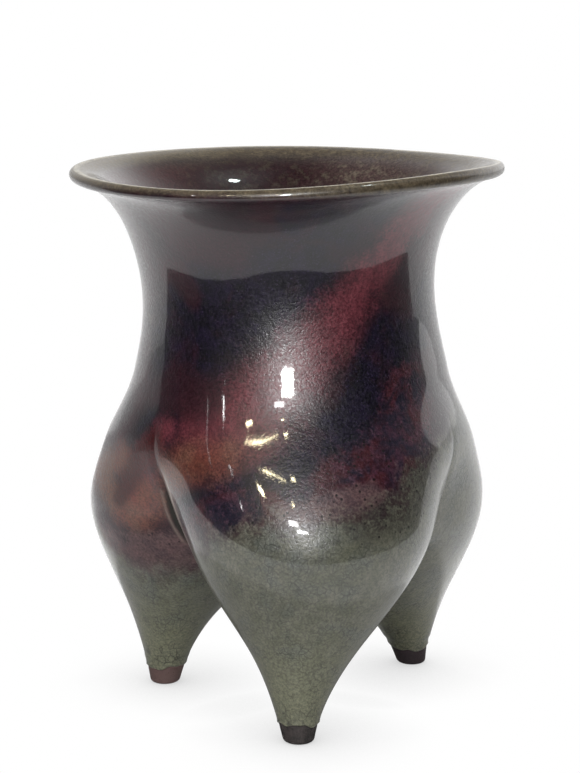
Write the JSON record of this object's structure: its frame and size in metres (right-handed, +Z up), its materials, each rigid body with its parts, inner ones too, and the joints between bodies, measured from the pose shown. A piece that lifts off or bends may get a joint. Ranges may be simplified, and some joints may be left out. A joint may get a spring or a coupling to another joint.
{
  "type": "tripod incense burner",
  "caption": "Hollow glazed pot on three swelling pouch-shaped legs that taper to small bare feet, with a round neck and a wide flared lip.",
  "frame": {"origin": "on the floor under the middle of the mouth", "axes": "+Z up, -Y towards the front leg, +X to the right of someone who faces it"},
  "size_m": [0.1816, 0.1816, 0.2341],
  "materials": {
    "glaze": "glossy"
  },
  "bodies": {
    "root": {"burner_body": "glaze"}
  },
  "joints": []
}
